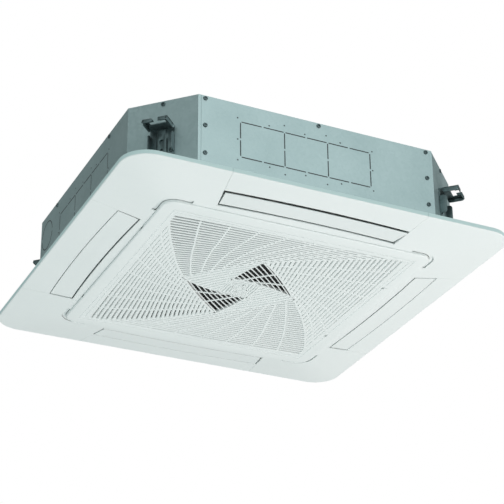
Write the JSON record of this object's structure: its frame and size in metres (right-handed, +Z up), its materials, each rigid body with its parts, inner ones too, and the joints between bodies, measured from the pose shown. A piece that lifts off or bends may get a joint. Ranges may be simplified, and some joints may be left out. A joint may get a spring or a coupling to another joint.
{
  "type": "ceiling cassette air conditioner",
  "caption": "Ceiling cassette air conditioner: square drop-in unit with a sloping panel, bowed outlet flaps on every side, a whirl-slatted intake grille and hanger brackets",
  "frame": {"origin": "centre of the ceiling plane, level with the top of the panel's rim", "axes": "+Z up into the ceiling void, -Y the front of the casing, +X its right side with the pipes"},
  "size_m": [0.95, 0.95, 0.2375],
  "materials": {
    "galvanised_sheet": "galvanised, matt spangle",
    "bracket_steel": "galvanised, pressed",
    "panel_white": "satin moulded white",
    "flap_white": "satin moulded white",
    "grille_white": "satin moulded white",
    "pin_steel": "turned steel",
    "foam_white": "moulded bead foam",
    "foam_grey": "soft foam sheet",
    "fin_aluminium": "thin plain fins",
    "pipe_copper": "drawn copper",
    "pump_plastic": "moulded grey",
    "bell_plastic": "moulded dark grey",
    "fan_plastic": "moulded black",
    "motor_paint": "dark paint",
    "bush_rubber": "black rubber",
    "board_green": "coated board",
    "terminal_dark": "moulded black",
    "filter_dark": "moulded black",
    "filter_net": "fine woven net"
  },
  "bodies": {
    "unit": {"casing_front": "galvanised_sheet", "casing_back": "galvanised_sheet", "casing_left": "galvanised_sheet", "casing_right": "galvanised_sheet", "casing_top": "galvanised_sheet", "electrical_box": "galvanised_sheet", "electrical_cover": "galvanised_sheet", "hanger_bracket_front_left": "bracket_steel", "hanger_bracket_front_right": "bracket_steel", "hanger_bracket_back_right": "bracket_steel", "hanger_bracket_back_left": "bracket_steel", "panel_frame": "panel_white", "drain_pan": "foam_white", "insulation_liner": "foam_grey", "panel_seal": "foam_grey", "coil_fins": "fin_aluminium", "coil_end_plates": "fin_aluminium", "coil_bends": "pipe_copper", "gas_pipe": "pipe_copper", "liquid_pipe": "pipe_copper", "drain_pump": "pump_plastic", "drain_spout": "pump_plastic", "bell_mouth": "bell_plastic", "fan_motor": "motor_paint", "flap_motor_front": "motor_paint", "flap_motor_right": "motor_paint", "flap_motor_back": "motor_paint", "flap_motor_left": "motor_paint", "motor_bushes": "bush_rubber", "cable_grommet": "bush_rubber", "circuit_board": "board_green", "terminal_block": "terminal_dark"},
    "fan": {"turbo_fan": "fan_plastic", "motor_shaft": "pin_steel"},
    "grille": {"intake_grille": "grille_white", "grille_hinge_pins": "pin_steel", "filter_frame": "filter_dark", "filter_mesh": "filter_net"},
    "latch_front": {"grille_latch_front": "grille_white"},
    "latch_back": {"grille_latch_back": "grille_white"},
    "flap_front_body": {"flap_front": "flap_white"},
    "flap_right_body": {"flap_right": "flap_white"},
    "flap_back_body": {"flap_back": "flap_white"},
    "flap_left_body": {"flap_left": "flap_white"},
    "cover_front_left": {"corner_cover_front_left": "panel_white"},
    "cover_front_right": {"corner_cover_front_right": "panel_white"},
    "cover_back_right": {"corner_cover_back_right": "panel_white"},
    "cover_back_left": {"corner_cover_back_left": "panel_white"}
  },
  "joints": [
    {"name": "fan_spin", "type": "hinge", "parent": "unit", "child": "fan", "pos_m": [0, 0, 0.1], "axis": [0, 0, 1], "continuous": true},
    {"name": "flap_front", "type": "hinge", "parent": "unit", "child": "flap_front_body", "pos_m": [0, -0.376, -0.00993], "axis": [1, 0, 0], "range_deg": [0, 50]},
    {"name": "flap_right", "type": "hinge", "parent": "unit", "child": "flap_right_body", "pos_m": [0.376, 0, -0.00993], "axis": [0, 1, 0], "range_deg": [0, 50]},
    {"name": "flap_back", "type": "hinge", "parent": "unit", "child": "flap_back_body", "pos_m": [0, 0.376, -0.00993], "axis": [-1, 0, 0], "range_deg": [0, 50]},
    {"name": "flap_left", "type": "hinge", "parent": "unit", "child": "flap_left_body", "pos_m": [-0.376, 0, -0.00993], "axis": [0, -1, 0], "range_deg": [0, 50]},
    {"name": "grille_hinge", "type": "hinge", "parent": "unit", "child": "grille", "pos_m": [-0.33, 0, -0.025], "axis": [0, 1, 0], "range_deg": [0, 90]},
    {"name": "latch_front_slide", "type": "slide", "parent": "grille", "child": "latch_front", "axis": [-1, 0, 0], "range_m": [0, 0.006], "stiffness_N_per_m": 100},
    {"name": "latch_back_slide", "type": "slide", "parent": "grille", "child": "latch_back", "axis": [-1, 0, 0], "range_m": [0, 0.006], "stiffness_N_per_m": 100},
    {"name": "cover_front_left_drop", "type": "slide", "parent": "unit", "child": "cover_front_left", "axis": [0, 0, -1], "range_m": [0, 0.02]},
    {"name": "cover_front_right_drop", "type": "slide", "parent": "unit", "child": "cover_front_right", "axis": [0, 0, -1], "range_m": [0, 0.02]},
    {"name": "cover_back_right_drop", "type": "slide", "parent": "unit", "child": "cover_back_right", "axis": [0, 0, -1], "range_m": [0, 0.02]},
    {"name": "cover_back_left_drop", "type": "slide", "parent": "unit", "child": "cover_back_left", "axis": [0, 0, -1], "range_m": [0, 0.02]}
  ]
}
